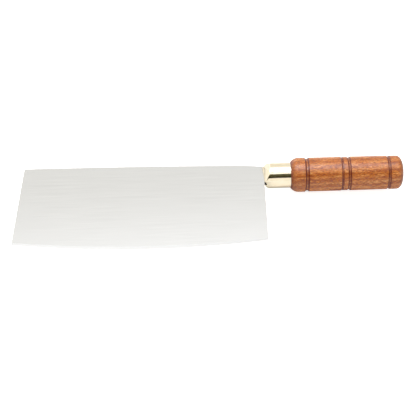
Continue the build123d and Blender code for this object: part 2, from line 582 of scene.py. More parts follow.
def finished_mesh(drawing: Drawing, name: str) -> bpy.types.Mesh:
    """Closes a drawing in millimetres into a smooth mesh in metres, faces outwards.

    Args:
        drawing: The drawn piece, which is freed.
        name: Name of the mesh.

    Returns:
        The mesh.
    """
    bmesh.ops.recalc_face_normals(drawing, faces=drawing.faces)
    bmesh.ops.scale(drawing, vec=(MM, MM, MM), verts=drawing.verts)
    for face in drawing.faces:
        face.smooth = True
    mesh = bpy.data.meshes.new(name)
    drawing.to_mesh(mesh)
    drawing.free()
    return mesh


def new_piece(name: str, mesh: bpy.types.Mesh) -> Piece:
    """Puts a mesh into the scene.

    Args:
        name: Name of the piece.
        mesh: Its mesh, in place.

    Returns:
        The object, at the origin.
    """
    piece = bpy.data.objects.new(name, mesh)
    bpy.context.scene.collection.objects.link(piece)
    return piece


def make_plain(piece: Piece) -> None:
    """Turns a piece into a plain mesh without modifiers.

    Args:
        piece: A piece with modifiers.
    """
    graph = bpy.context.evaluated_depsgraph_get()
    plain = bpy.data.meshes.new_from_object(
        piece.evaluated_get(graph), preserve_all_data_layers=True, depsgraph=graph
    )
    piece.modifiers.clear()
    rough = piece.data
    piece.data = plain
    bpy.data.meshes.remove(rough)


def cut_box(piece: Piece, low: Vector, high: Vector) -> None:
    """Cuts a box out of a piece.

    Args:
        piece: The closed mesh that is cut.
        low: The box's lowest corner in millimetres.
        high: The box's highest corner in millimetres.
    """
    drawing = bmesh.new()
    size = Matrix.Diagonal(high - low).to_4x4()
    bmesh.ops.create_cube(drawing, size=1.0, matrix=Matrix.Translation((low + high) / 2) @ size)
    cut_drawn(piece, drawing)


def cut_drawn(piece: Piece, drawing: Drawing) -> None:
    """Cuts a drawing out of a piece, merges close points and splits many-sided faces.

    Args:
        piece: The closed mesh that is cut.
        drawing: What is cut out, closed and in millimetres. It is freed.
    """
    cutter = new_piece("cutter", finished_mesh(drawing, "cutter"))
    for material in piece.data.materials:
        cutter.data.materials.append(material)
    cut = piece.modifiers.new("cut", "BOOLEAN")
    cut.operation = "DIFFERENCE"
    cut.solver = "EXACT"
    cut.object = cutter
    make_plain(piece)
    bpy.data.meshes.remove(cutter.data)
    welded = bmesh.new()
    welded.from_mesh(piece.data)
    bmesh.ops.remove_doubles(welded, verts=welded.verts, dist=WELD)
    many_sided = [face for face in welded.faces if len(face.verts) > 4]
    bmesh.ops.triangulate(welded, faces=many_sided)
    welded.to_mesh(piece.data)
    welded.free()


def settle(piece: Piece, node: str) -> None:
    """Lets a finished piece stand for its CAD node and reports it.

    Args:
        piece: The finished piece.
        node: The CAD node that it replaces.
    """
    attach(piece, BODY)
    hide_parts(node)
    piece.data.calc_loop_triangles()
    LOG.info("%s stands for %s: %d triangles", piece.name, node, len(piece.data.loop_triangles))


@dataclass(frozen=True)
class Circle:
    """A circle in the blade's plane, in millimetres."""

    x: float
    y: float
    radius: float

    @classmethod
    def through(cls, a: Vector, b: Vector, c: Vector) -> "Circle":
        """Finds the circle through three points.

        Args:
            a: The first point.
            b: The second point.
            c: The third point.

        Returns:
            The circle.
        """
        double_area = 2 * (a.x * (b.y - c.y) + b.x * (c.y - a.y) + c.x * (a.y - b.y))
        squares = (a.length_squared, b.length_squared, c.length_squared)
        x = (squares[0] * (b.y - c.y) + squares[1] * (c.y - a.y) + squares[2] * (a.y - b.y))
        y = (squares[0] * (c.x - b.x) + squares[1] * (a.x - c.x) + squares[2] * (b.x - a.x))
        centre = Vector((x, y)) / double_area
        return cls(centre.x, centre.y, (a - centre).length)

    def above(self, x: float) -> float:
        """Height of the circle's upper half at x."""
        return self.y + math.sqrt(self.radius**2 - (x - self.x) ** 2)

    def below(self, x: float, inset: float = 0.0) -> float:
        """Height of the lower half at x, on a circle that is smaller by the inset."""
        return self.y - math.sqrt((self.radius - inset) ** 2 - (x - self.x) ** 2)


class Lathe:
    """Turns a half outline about the handle's axis, by one Geometry Nodes tree.

    The outline comes in as a line of vertices with X along the axis and Y as the radius. Its
    attribute of burn and painted shade goes round with it.
    """

    def __init__(self) -> None:
        """Builds the tree with its named inputs."""
        self.tree = bpy.data.node_groups.new("lathe", "GeometryNodeTree")
        sockets = self.tree.interface
        sockets.new_socket("Outline", in_out="INPUT", socket_type="NodeSocketGeometry")
        named = (
            ("Segments", "NodeSocketInt"),
            ("Closing distance", "NodeSocketFloat"),
            ("Finish", "NodeSocketMaterial"),
        )
        self.keys = {
            name: sockets.new_socket(name, in_out="INPUT", socket_type=kind).identifier
            for name, kind in named
        }
        sockets.new_socket("Turned", in_out="OUTPUT", socket_type="NodeSocketGeometry")
        self.grow()

    def grow(self) -> None:
        """Lays the nodes: a grid, rolled round the axis over the outline's points."""
        add = partial(add_node, self.tree)
        given = add("NodeGroupInput").node.outputs
        outline = given["Outline"]
        points = add("GeometryNodeAttributeDomainSize", (outline,), "Point Count", component="MESH")
        rows = add("ShaderNodeMath", (given["Segments"], 1.0), operation="ADD")
        grid = add("GeometryNodeMeshGrid", {"Vertices X": rows, "Vertices Y": points}, "Mesh")
        # Half a step keeps the whole part of a quotient clear of rounding
        middle = add("ShaderNodeMath", (add("GeometryNodeInputIndex"), 0.5), operation="ADD")
        row, station = (
            add(
                "ShaderNodeMath",
                (add("ShaderNodeMath", (middle, points), operation=share),),
                operation="FLOOR",
            )
            for share in ("DIVIDE", "MODULO")
        )
        turn = add("ShaderNodeMath", (row, given["Segments"]), operation="DIVIDE")
        angle = add("ShaderNodeMath", (turn, math.tau), operation="MULTIPLY")
        scorch = add(
            "GeometryNodeInputNamedAttribute", {"Name": "scorch"}, "Attribute", data_type="FLOAT"
        )
        # The outline's attribute of burn and painted shade is sampled with each point
        point, burn = (
            add(
                "GeometryNodeSampleIndex",
                {"Geometry": outline, "Value": value, "Index": station},
                data_type=data_type,
                domain="POINT",
            )
            for value, data_type in (
                (add("GeometryNodeInputPosition"), "FLOAT_VECTOR"),
                (scorch, "FLOAT"),
            )
        )
        parts = add("ShaderNodeSeparateXYZ", (point,)).node.outputs
        across, up = (
            add(
                "ShaderNodeMath",
                (parts["Y"], add("ShaderNodeMath", (angle,), operation=share)),
                operation="MULTIPLY",
            )
            for share in ("COSINE", "SINE")
        )
        rolled = add("ShaderNodeCombineXYZ", (parts["X"], across, up))
        turned = add("GeometryNodeSetPosition", {"Geometry": grid, "Position": rolled})
        marked = add(
            "GeometryNodeStoreNamedAttribute",
            {"Geometry": turned, "Name": "scorch", "Value": burn},
            data_type="FLOAT",
            domain="POINT",
        )
        closing = {"Geometry": marked, "Distance": given["Closing distance"]}
        real = add("GeometryNodeRealizeInstances", (add("GeometryNodeMergeByDistance", closing),))
        dressed = add("GeometryNodeSetMaterial", {"Geometry": real, "Material": given["Finish"]})
        add("NodeGroupOutput", (dressed,))

    def turn(
        self,
        name: str,
        outline: Outline,
        finish: Finish,
        segments: int,
        scorch: Sequence[float] = (),
        crisp_degrees: float = 40.0,
    ) -> Piece:
        """Turns one outline into a plain, closed mesh.

        Args:
            name: Name of the piece.
            outline: Axis place and radius of each point, in millimetres. A hollow piece's outline
                ends where it starts; a solid one's starts and ends on the axis.
            finish: What the piece is made of.
            segments: Number of flats round the piece.
            scorch: How burnt each point is, with painted shade, from zero to one.
            crisp_degrees: Edges sharper than this stay crisp.

        Returns:
            The turned piece.
        """
        line = bpy.data.meshes.new(name)
        places = [(x * MM, radius * MM, 0.0) for x, radius in outline]
        line.from_pydata(places, list(pairwise(range(len(places)))), [])
        marks = line.attributes.new("scorch", "FLOAT", "POINT")
        for mark, amount in zip(marks.data, scorch or [0.0] * len(places)):
            mark.value = amount
        piece = new_piece(name, line)
        lathe = piece.modifiers.new("lathe", "NODES")
        lathe.node_group = self.tree
        lathe[self.keys["Segments"]] = segments
        lathe[self.keys["Closing distance"]] = TINY * MM
        lathe[self.keys["Finish"]] = finish.material()
        make_plain(piece)
        drawing = bmesh.new()
        drawing.from_mesh(piece.data)
        bmesh.ops.recalc_face_normals(drawing, faces=drawing.faces)
        drawing.to_mesh(piece.data)
        drawing.free()
        piece.data.shade_smooth()
        piece.data.set_sharp_from_angle(angle=math.radians(crisp_degrees))
        return piece


# The cleaver's pieces


@dataclass
class Blade:
    """The ground blade and the stub that it carries into the ferrule."""

    spine_height_middle: float = 13.9
    spine_height_neck: float = 12.0
    spine_height_ferrule: float = 9.7
    neck_fall_length: float = 21.0
    neck_fall_sag: float = 0.35
    edge_depth_tip: float = 68.6
    edge_depth_belly: float = 76.4
    edge_depth_heel: float = 70.5
    tip_corner_radius: float = 1.0
    heel_stand_off: float = 0.5
    grind_height: float = 58.0
    bevel_height: float = 2.4
    # Whetting narrows the bevel by this share towards the tip and the heel
    bevel_narrowing: float = 0.38
    bevel_shoulder_thickness: float = 0.8
    edge_thickness: float = 0.12
    stub_thickness: float = 1.8
    stub_width: float = 14.0
    stub_corner_radius: float = 1.5
    eased_edge: float = 0.22
    ease_segments: int = 3
    columns: int = 110
    grind_rows: int = 26
    curve_steps: int = 40
    fall_steps: int = 12
    corner_steps: int = 6

    def __post_init__(self) -> None:
        """Takes the outer sizes from the frame and works out the blade's circles."""
        low, high = frame_box("blade")
        self.tip_x = low.x
        self.half_thickness = (high.z - low.z) / 2
        self.stub_end = high.x
        middle_x = self.tip_x / 2
        neck = Vector((-self.neck_fall_length, self.spine_height_neck))
        end = Vector((self.heel_stand_off, self.spine_height_ferrule))
        fall_middle = (neck + end) / 2 + Vector((0.0, self.neck_fall_sag))
        self.edge = Circle.through(
            Vector((0.0, -self.edge_depth_heel)),
            Vector((middle_x, -self.edge_depth_belly)),
            Vector((self.tip_x, -self.edge_depth_tip)),
        )
        self.spine = Circle.through(
            Vector((self.tip_x, high.y)), Vector((middle_x, self.spine_height_middle)), neck
        )
        self.fall = Circle.through(neck, fall_middle, end)

    def shoulder(self, x: float) -> float:
        """Inset of the bevel's shoulder from the cutting edge."""
        off_middle = 2 * x / self.tip_x - 1
        return self.bevel_height * (1 - self.bevel_narrowing * off_middle**2)

    def half_at(self, inset: float) -> float:
        """Follows the convex grind, which is one arc from the flat cheek to the bevel.

        Args:
            inset: Distance from the cutting edge.

        Returns:
            Half of the blade's thickness there.
        """
        run = self.grind_height - self.bevel_height
        drop = self.half_thickness - self.bevel_shoulder_thickness / 2
        grind_radius = (run**2 + drop**2) / (2 * drop)
        into = self.grind_height - inset
        return self.half_thickness - grind_radius + math.sqrt(grind_radius**2 - into**2)

    def top_outline(self) -> Outline:
        """Follows the rim of the flat cheek.

        Returns:
            From the tip's upper corner along the spine and the neck to the heel.
        """
        radius = self.tip_corner_radius
        corner_x = self.tip_x + radius
        centre = (corner_x, self.spine.above(corner_x) - radius)
        corner = arc(centre, (radius, radius), -QUARTER_TURN, 0.0, self.corner_steps)
        neck_x = -self.neck_fall_length
        spine = [(x, self.spine.above(x)) for x in steps(corner_x, neck_x, self.curve_steps)]
        falling = steps(neck_x, self.heel_stand_off, self.fall_steps)
        fall = [(x, self.fall.above(x)) for x in falling]
        neck_end = [(x, -self.spine_height_ferrule) for x in (self.heel_stand_off, 0.0)]
        return corner + spine[1:] + fall[1:] + neck_end

    def draw_side(self, drawing: Drawing, side: int) -> list[bmesh.types.BMVert]:
        """Draws the cheek, the grind and the bevel of one side.

        Args:
            drawing: The blade so far.
            side: 1 for the upper side, -1 for the lower.

        Returns:
            The side's rim, from the tip's edge round by the spine and back along the edge.
        """
        across = steps(self.tip_x, 0.0, self.columns)
        columns = [steps(self.grind_height, self.shoulder(x), self.grind_rows) for x in across]
        rows = [
            [
                drawing.verts.new((x, self.edge.below(x, inset), side * self.half_at(inset)))
                for x, inset in zip(across, row)
            ]
            for row in zip(*columns)
        ]
        half_edge = side * self.edge_thickness / 2
        rows.append([drawing.verts.new((x, self.edge.below(x), half_edge)) for x in across])
        upper = [
            drawing.verts.new((x, y, side * self.half_thickness)) for x, y in self.top_outline()
        ]
        drawing.faces.new(rows[0] + upper[::-1])
        for higher, lower in pairwise(rows):
            for left in range(self.columns):
                corners = (lower[left], lower[left + 1], higher[left + 1], higher[left])
                face = drawing.faces.new(corners)
                face.material_index = int(lower is rows[-1])
        for shoulder_edge in pairwise(rows[-2]):
            drawing.edges.get(shoulder_edge).smooth = False
        tip_line = [row[0] for row in reversed(rows)]
        heel_line = [row[-1] for row in rows]
        return tip_line + upper + heel_line + rows[-1][-2:0:-1]

    def build(self) -> Piece:
        """Makes the blade with its two finishes and puts it in place of its CAD node.

        Returns:
            The blade.
        """
        drawing = bmesh.new()
        ease = drawing.edges.layers.float.new("bevel_weight_edge")
        face_rim, back_rim = (self.draw_side(drawing, side) for side in (1, -1))
        walls = list(zip(face_rim, face_rim[1:] + face_rim[:1], back_rim[1:] + back_rim[:1], back_rim))
        neck_end = next(
            wall
            for wall in walls
            if min(corner.co.x for corner in wall) > self.heel_stand_off / 2
            and abs(wall[0].co.y - wall[1].co.y) > self.spine_height_ferrule
        )
        for wall in walls:
            if wall is not neck_end:
                drawing.faces.new(wall)
            for rim_edge in ((wall[0], wall[1]), (wall[2], wall[3])):
                edge = drawing.edges.get(rim_edge)
                thinnest = min(abs(corner.co.z) for corner in rim_edge)
                if thinnest < self.half_at(0.0):
                    edge.smooth = False
                elif wall is not neck_end:
                    edge[ease] = (thinnest / self.half_thickness) ** 2
        self.add_stub(drawing, neck_end)
        piece = new_piece("ground_blade", finished_mesh(drawing, "ground_blade"))
        for finish in (
            BeltGroundStainless("belt_ground_stainless"),
            WhettedStainless("whetted_stainless"),
        ):
            piece.data.materials.append(finish.material())
        eased = piece.modifiers.new("eased_edges", "BEVEL")
        eased.limit_method = "WEIGHT"
        eased.width = self.eased_edge * MM
        eased.segments = self.ease_segments
        eased.harden_normals = True
        make_plain(piece)
        settle(piece, "blade")
        return piece

    def add_stub(self, drawing: Drawing, neck_end: Sequence[bmesh.types.BMVert]) -> None:
        """Draws the thinner stub out of the end of the neck.

        Args:
            drawing: The blade so far.
            neck_end: The four corners of the neck's open end.
        """
        half_width = self.stub_width / 2
        half_thick = self.stub_thickness / 2
        radius = self.stub_corner_radius
        centre = (self.stub_end - radius, half_width - radius)
        corner = arc(centre, (radius, radius), 0.0, QUARTER_TURN, self.corner_steps)
        upper = [(self.heel_stand_off, half_width)] + corner
        outline = upper + [(x, -y) for x, y in reversed(upper)]
        face_side = [drawing.verts.new((x, y, half_thick)) for x, y in outline]
        back_side = [drawing.verts.new((x, y, -half_thick)) for x, y in outline]
        drawing.faces.new(face_side)
        drawing.faces.new(back_side[::-1])
        for here, there in pairwise(range(len(outline))):
            quad = (face_side[here], back_side[here], back_side[there], face_side[there])
            drawing.faces.new(quad)
        mouth = (face_side[0], face_side[-1], back_side[-1], back_side[0])
        for here in range(4):
            there = (here + 1) % 4
            drawing.faces.new((neck_end[here], neck_end[there], mouth[there], mouth[here]))


@dataclass
class Ferrule:
    """The drawn brass cup: two slanting pressed faces beside a narrow flat nose."""

    wall: float = 0.9
    nose_thickness: float = 3.2
    nose_slant_degrees: float = 26.0
    pressed_radius: float = 1.3
    spine_side_radius: float = 0.4
    inner_radius: float = 0.25
    crease_width: float = 0.5
    rim_radius: float = 0.3
    mouth_depth: float = 2.6
    # Behind the nose, and above the blade's middle plane
    mouth_place: tuple[float, float] = (0.4, 0.48)
    mouth_half_size: tuple[float, float] = (1.1, 1.35)
    mouth_sides: int = 24
    slot_width: float = 14.1
    slot_thickness: float = 1.9
    crisp_degrees: float = 35.0
    segments: int = 176
    crease_steps: int = 4
    bend_steps: int = 8
    wall_steps: int = 3
    rim_steps: int = 4
    least_step: float = 0.02

    def __post_init__(self) -> None:
        """Takes the outer sizes from the frame."""
        low, high = frame_box("ferrule")
        self.front = low.x
        self.back = high.x
        self.radius = (high.y - low.y) / 2
        self.slope = math.tan(math.radians(self.nose_slant_degrees))

    def rise(self, height: float) -> tuple[float, float]:
        """Follows the pressed front from the flat nose over a soft crease to its slanting face.

        Args:
            height: Height over the blade's middle plane.

        Returns:
            How far the front lies behind the nose there, and its slope.
        """
        over = height - self.nose_thickness / 2
        crease = self.crease_width
        if over <= -crease:
            return 0.0, 0.0
        if over >= crease:
            return over * self.slope, self.slope
        slope = (over + crease) / (2 * crease) * self.slope
        return (over + crease) / 2 * slope, slope

    def front_profile(self, angle: float, radius: float, front: float, bend: float) -> Outline:
        """The cup's front at one angle, from the slot out to the round wall.

        Args:
            angle: Angle about the axis from +Y.
            radius: Radius of the round wall.
            front: Place of the nose.
            bend: Radius of the bend between the front and the wall.

        Returns:
            Axis place and radius of each point.
        """
        lift = abs(math.sin(angle))
        reach = abs(math.cos(angle))
        slot = min(
            self.slot_width / 2 / max(reach, TINY),
            self.slot_thickness / 2 / max(lift, TINY),
        )
        corner_rise, height_slope = self.rise(radius * lift)
        slope = height_slope * lift
        lean = math.atan(slope)
        tangent = bend * math.tan((QUARTER_TURN - lean) / 2)
        bend_start = radius - tangent * math.cos(lean)
        wanted = [
            (self.nose_thickness / 2 + self.crease_width * step) / max(lift, TINY)
            for step in steps(-1.0, 1.0, self.crease_steps)
        ]
        wanted.insert(0, (slot + wanted[0]) / 2)
        wanted.append((wanted[-1] + bend_start) / 2)
        stations = [slot]
        for number, station in enumerate(wanted):
            most = bend_start - (len(wanted) - number) * self.least_step
            least = slot + (number + 1) * self.least_step
            stations.append(max(min(station, most), least))
        flat = [(front + self.rise(station * lift)[0], station) for station in stations]
        centre = (front + corner_rise + tangent, radius - bend)
        return flat + arc(centre, (bend, bend), lean - QUARTER_TURN, 0.0, self.bend_steps)

    def profile(self, angle: float) -> tuple[Outline, Outline]:
        """Goes round the wall at one angle.

        Args:
            angle: Angle about the axis from +Y.

        Returns:
            The outside from the slot to the rim, and the inside from the rim back to the slot.
        """
        edge_side = smooth_step((1 - math.cos(angle)) / 2)
        bend = self.spine_side_radius + (self.pressed_radius - self.spine_side_radius) * edge_side
        outside = self.front_profile(angle, self.radius, self.front, bend)
        inner = self.radius - self.wall
        inside = self.front_profile(angle, inner, self.front + self.wall, self.inner_radius)
        rim_start = self.back - self.rim_radius
        length = [(x, self.radius) for x in steps(outside[-1][0], rim_start, self.wall_steps)]
        rim_centre = (rim_start, self.radius - self.rim_radius)
        rim_radii = (self.rim_radius, self.rim_radius)
        rim = arc(rim_centre, rim_radii, 0.0, QUARTER_TURN, self.rim_steps)
        return outside + length[1:] + rim[1:], [(self.back, inner)] + inside[::-1]

    def angles(self) -> list[float]:
        """Divides the round evenly, with a division at each corner of the slot.

        Returns:
            The angles; an even one that is closer to a corner than a third of a step is left out.
        """
        even = [math.tau * number / self.segments for number in range(self.segments)]
        corner = math.atan2(self.slot_thickness, self.slot_width)
        corners = [corner, math.pi - corner, math.pi + corner, math.tau - corner]
        spacing = math.tau / self.segments / 3
        kept = [angle for angle in even if min(abs(angle - place) for place in corners) > spacing]
        return sorted(kept + corners)

    def mouth(self) -> Drawing:
        """Draws the small round hole that the pressing leaves at the edge side of the slot.

        Returns:
            What is cut out, with the second finish.
        """
        drawing = bmesh.new()
        x, z = self.mouth_place
        half_x, half_z = self.mouth_half_size
        stretch = Matrix.Diagonal((half_x, half_z, self.mouth_depth)).to_4x4()
        laid = Matrix.Rotation(QUARTER_TURN, 4, "X")
        middle = Matrix.Translation((self.front + x, -self.radius, z))
        bmesh.ops.create_cone(
            drawing,
            cap_ends=True,
            segments=self.mouth_sides,
            radius1=1.0,
            radius2=1.0,
            depth=2.0,
            matrix=middle @ laid @ stretch,
        )
        # The mouth's walls take the second finish, which is painted shade
        for face in drawing.faces:
            face.material_index = 1
        return drawing

    def build(self) -> Piece:
        """Makes the ferrule with its two finishes and puts it in place of its CAD node.

        Returns:
            The ferrule.
        """
        drawing = bmesh.new()
        rings = []
        for angle in self.angles():
            outside, inside = self.profile(angle)
            ring = [
                drawing.verts.new((x, radius * math.cos(angle), radius * math.sin(angle)))
                for x, radius in outside + inside
            ]
            rings.append(ring)
        for ring, following in zip(rings, rings[1:] + rings[:1]):
            for here in range(len(ring)):
                there = (here + 1) % len(ring)
                face = drawing.faces.new((ring[here], ring[there], following[there], following[here]))
                # The inside's faces take the second finish, which is painted shade
                face.material_index = int(len(outside) <= here < there)
        mesh = finished_mesh(drawing, "pressed_ferrule")
        for finish in (PolishedBrass("polished_brass"), PaintedShadeBrass("painted_shade_brass")):
            mesh.materials.append(finish.material())
        piece = new_piece("pressed_ferrule", mesh)
        cut_drawn(piece, self.mouth())
        piece.data.set_sharp_from_angle(angle=math.radians(self.crisp_degrees))
        settle(piece, "ferrule")
        return piece


@dataclass(frozen=True)
class Groove:
    """One turned and scorched groove, in millimetres from the handle's shoulder."""

    place: float
    width: float
    floor: float
    depth: float
    # Share of the burn on the floor, kept low as painted light where light falls on the floor
    floor_scorch_and_shade: float

    def deepness(self, x: float) -> float:
        """How deep the groove is at a place, from zero at its lips to one on its floor."""
        half_floor = self.floor / 2
        return smooth_step((self.width / 2 - abs(x - self.place)) / (self.width / 2 - half_floor))

    def scorch(self, x: float, glow: float) -> float:
        """Burns the groove, most beside its floor; the darker walls are partly painted shade and the
        lighter floor partly painted light.

        Args:
            x: Place from the shoulder.
            glow: Width past the lips over which the burn fades.

        Returns:
            How burnt and shaded the wood is there, from zero to one.
        """
        away = abs(x - self.place)
        beside = smooth_step((self.width / 2 + glow - away) / glow)
        off_floor = smooth_step(2 * away / self.floor)
        return min(beside, self.floor_scorch_and_shade + (1 - self.floor_scorch_and_shade) * off_floor)


@dataclass
class Handle:
    """The turned handle, hollow for the tang, with a pocket for the stub."""

    shoulder_start_diameter: float = 22.0
    shoulder_length: float = 6.0
    handle_diameter: float = 28.4
    bead_diameter: float = 27.9
    butt_diameter: float = 27.9
    butt_round_length: float = 5.2
    butt_flat_diameter: float = 14.0
    tenon_clearance: float = 0.1
    bore_clearance: float = 0.3
    recess_clearance: float = 0.1
    pocket_clearance: float = 0.2
    lip_length: float = 0.6
    lip_clearance: float = 0.05
    front_groove: Groove = Groove(12.9, 3.4, 1.4, 0.8, 0.2)
    fine_groove: Groove = Groove(42.1, 1.9, 0.4, 0.45, 1.0)
    middle_groove: Groove = Groove(47.75, 2.5, 1.1, 0.8, 0.2)
    butt_groove: Groove = Groove(80.5, 2.4, 0.9, 0.8, 0.5)
    scorch_glow: float = 0.2
    # Painted shade in the seam where the wood meets the ferrule, darkest at the rim and fading
    # outwards
    seam_shade: tuple[float, ...] = (1.0, 0.95, 0.65, 0.35, 0.2, 0.1)
    groove_steps: int = 18
    barrel_step: float = 2.5
    curve_steps: int = 14
    segments: int = 128

    def __post_init__(self) -> None:
        """Takes the outer sizes from the frame."""
        low, high = frame_box("handle")
        ferrule_high = frame_box("ferrule")[1]
        washer_low, washer_high = frame_box("butt_washer")
        self.tenon_front = low.x
        self.front = ferrule_high.x
        self.lip_radius = ferrule_high.y + self.lip_clearance
        self.back = high.x
        self.lobe_radius = (high.z - low.z) / 2
        self.tenon_radius = ferrule_high.y - Ferrule.wall - self.tenon_clearance
        self.washer_seat = washer_low.x
        self.recess_radius = washer_high.y + self.recess_clearance
        self.stub_end = frame_box("blade")[1].x
        self.grooves = (self.front_groove, self.fine_groove, self.middle_groove, self.butt_groove)

    def barrel(self, x: float) -> float:
        """Follows the wood without its grooves.

        Args:
            x: Place from the shoulder.

        Returns:
            The radius there.
        """
        if x < self.front_groove.place:
            return self.lobe_radius
        if x < self.fine_groove.place:
            return self.handle_diameter / 2
        if x < self.middle_groove.place:
            return self.bead_diameter / 2
        butt_start = self.back - self.front - self.butt_round_length
        share = (x - self.middle_groove.place) / (butt_start - self.middle_groove.place)
        return (self.handle_diameter + (self.butt_diameter - self.handle_diameter) * share) / 2

    def turned_radius(self, x: float) -> float:
        """Follows the wood with its grooves.

        Args:
            x: Place from the shoulder.

        Returns:
            The radius there.
        """
        radius = self.barrel(x)
        for groove in self.grooves:
            floor_radius = self.handle_diameter / 2 - groove.depth
            radius += (floor_radius - radius) * groove.deepness(x)
        return radius

    def places(self) -> list[float]:
        """Divides the straight length, closely in the grooves.

        Returns:
            Places from the shoulder.
        """
        first = self.shoulder_length
        last = self.back - self.front - self.butt_round_length
        places = set(steps(first, last, round((last - first) / self.barrel_step)))
        for groove in self.grooves:
            half = groove.width / 2 + self.scorch_glow
            places = {x for x in places if abs(x - groove.place) > half}
            places.update(steps(groove.place - half, groove.place + half, self.groove_steps))
        return sorted(places)

    def outline(self) -> tuple[Outline, list[float]]:
        """Draws the wood's closed half outline, from the lip over the outside and back inside.

        Returns:
            The points, and how burnt each of them is, with the painted shade of the seam and the
            groove walls.
        """
        rise = self.lobe_radius - self.shoulder_start_diameter / 2
        shoulder_length = self.shoulder_length + self.lip_length
        round_radius = (shoulder_length**2 + rise**2) / (2 * rise)
        sweep = math.asin(shoulder_length / round_radius)
        shoulder_centre = (self.front + self.shoulder_length, self.lobe_radius - round_radius)
        shoulder_radii = (round_radius, round_radius)
        shoulder = arc(shoulder_centre, shoulder_radii, -sweep, 0.0, self.curve_steps)
        places = self.places()[1:]
        length = [(self.front + x, self.turned_radius(x)) for x in places]
        burns_and_shade = [max(groove.scorch(x, self.scorch_glow) for groove in self.grooves) for x in places]
        flat_radius = self.butt_flat_diameter / 2
        butt_centre = (self.back - self.butt_round_length, flat_radius)
        butt_radii = (self.butt_round_length, self.butt_diameter / 2 - flat_radius)
        butt = arc(butt_centre, butt_radii, 0.0, QUARTER_TURN, self.curve_steps)
        bore_radius = Tang.bar_diameter / 2 + self.bore_clearance
        inside = [
            (self.back, self.recess_radius),
            (self.washer_seat, self.recess_radius),
            (self.washer_seat, bore_radius),
            (self.tenon_front, bore_radius),
            (self.tenon_front, self.tenon_radius),
            (self.front, self.tenon_radius),
            (self.front, self.lip_radius),
            (self.front - self.lip_length, self.lip_radius),
        ]
        outline = shoulder + length + butt[1:] + inside + shoulder[:1]
        # The seam's painted shade goes on the shoulder's first points, next to the ferrule
        clean_shoulder = [0.0] * (len(shoulder) - len(self.seam_shade))
        burns_and_shade = [*self.seam_shade, *clean_shoulder, *burns_and_shade]
        return outline, burns_and_shade + [0.0] * (len(outline) - len(burns_and_shade))

    def build(self, lathe: Lathe) -> Piece:
        """Turns the handle, cuts the stub's pocket and puts it in place of its CAD node.

        Args:
            lathe: The lathe that turns it.

        Returns:
            The handle.
        """
        outline, burns_and_shade = self.outline()
        finish = OiledHardwood("oiled_hardwood")
        piece = lathe.turn("turned_handle", outline, finish, self.segments, burns_and_shade)
        half_width = Blade.stub_width / 2 + self.pocket_clearance
        half_thick = Blade.stub_thickness / 2 + self.pocket_clearance
        low = Vector((self.tenon_front - self.pocket_clearance, -half_width, -half_thick))
        high = Vector((self.stub_end + self.pocket_clearance, half_width, half_thick))
        cut_box(piece, low, high)
        settle(piece, "handle")
        return piece


@dataclass
class Tang:
    """The round bar through the handle, slit over the stub and peened at the butt."""

    bar_diameter: float = 6.0
    point_diameter: float = 4.0
    point_length: float = 2.0
    head_height: float = 1.2
    head_lip: float = 0.25
    slit_thickness: float = 1.8
    dome_steps: int = 10
    segments: int = 64

    def __post_init__(self) -> None:
        """Takes the outer sizes from the frame."""
        low, high = frame_box("tang")
        self.front = low.x
        self.back = high.x
        self.head_radius = (high.y - low.y) / 2
        self.stub_end = frame_box("blade")[1].x

    def outline(self) -> Outline:
        """Draws the bar's half outline.

        Returns:
            The points, from the bar's point to the top of its head.
        """
        seat = self.back - self.head_height
        dome_height = self.head_height - self.head_lip
        dome_radius = (self.head_radius**2 + dome_height**2) / (2 * dome_height)
        sweep = math.asin(self.head_radius / dome_radius)
        centre = (self.back - dome_radius, 0.0)
        radii = (dome_radius, dome_radius)
        dome = arc(centre, radii, QUARTER_TURN - sweep, QUARTER_TURN, self.dome_steps)
        bar = [
            (self.front, 0.0),
            (self.front, self.point_diameter / 2),
            (self.front + self.point_length, self.bar_diameter / 2),
            (seat, self.bar_diameter / 2),
            (seat, self.head_radius - self.head_lip),
            (seat + self.head_lip / 2, self.head_radius),
        ]
        return bar + dome

    def build(self, lathe: Lathe) -> Piece:
        """Turns the bar, cuts its slit and puts it in place of its CAD node.

        Args:
            lathe: The lathe that turns it.

        Returns:
            The tang.
        """
        finish = DrawnSteelBar("drawn_steel_bar")
        piece = lathe.turn("peened_tang", self.outline(), finish, self.segments)
        half = Vector((0.0, self.bar_diameter, self.slit_thickness)) / 2
        start = Vector((self.front - self.point_length, 0.0, 0.0))
        cut_box(piece, start - half, Vector((self.stub_end, 0.0, 0.0)) + half)
        settle(piece, "tang")
        return piece


@dataclass
class ButtWasher:
    """The washer let into the butt under the peened head."""

    hole_clearance: float = 0.1
    eased_edge: float = 0.18
    segments: int = 96

    def build(self, lathe: Lathe) -> Piece:
        """Turns the washer and puts it in place of its CAD node.

        Args:
            lathe: The lathe that turns it.

        Returns:
            The washer.
        """
        low, high = frame_box("butt_washer")
        outer = high.y
        inner = Tang.bar_diameter / 2 + self.hole_clearance
        ease = self.eased_edge
        outline = [
            (low.x, inner),
            (low.x, outer - ease),
            (low.x + ease, outer),
            (high.x - ease, outer),
            (high.x - ease / 3, outer - ease / 3),
            (high.x, outer - ease),
            (high.x, inner + ease),
            (high.x - ease, inner),
            (low.x, inner),
        ]
        piece = lathe.turn("let_in_washer", outline, DullBrass("dull_brass"), self.segments)
        settle(piece, "butt_washer")
        return piece


# The studio


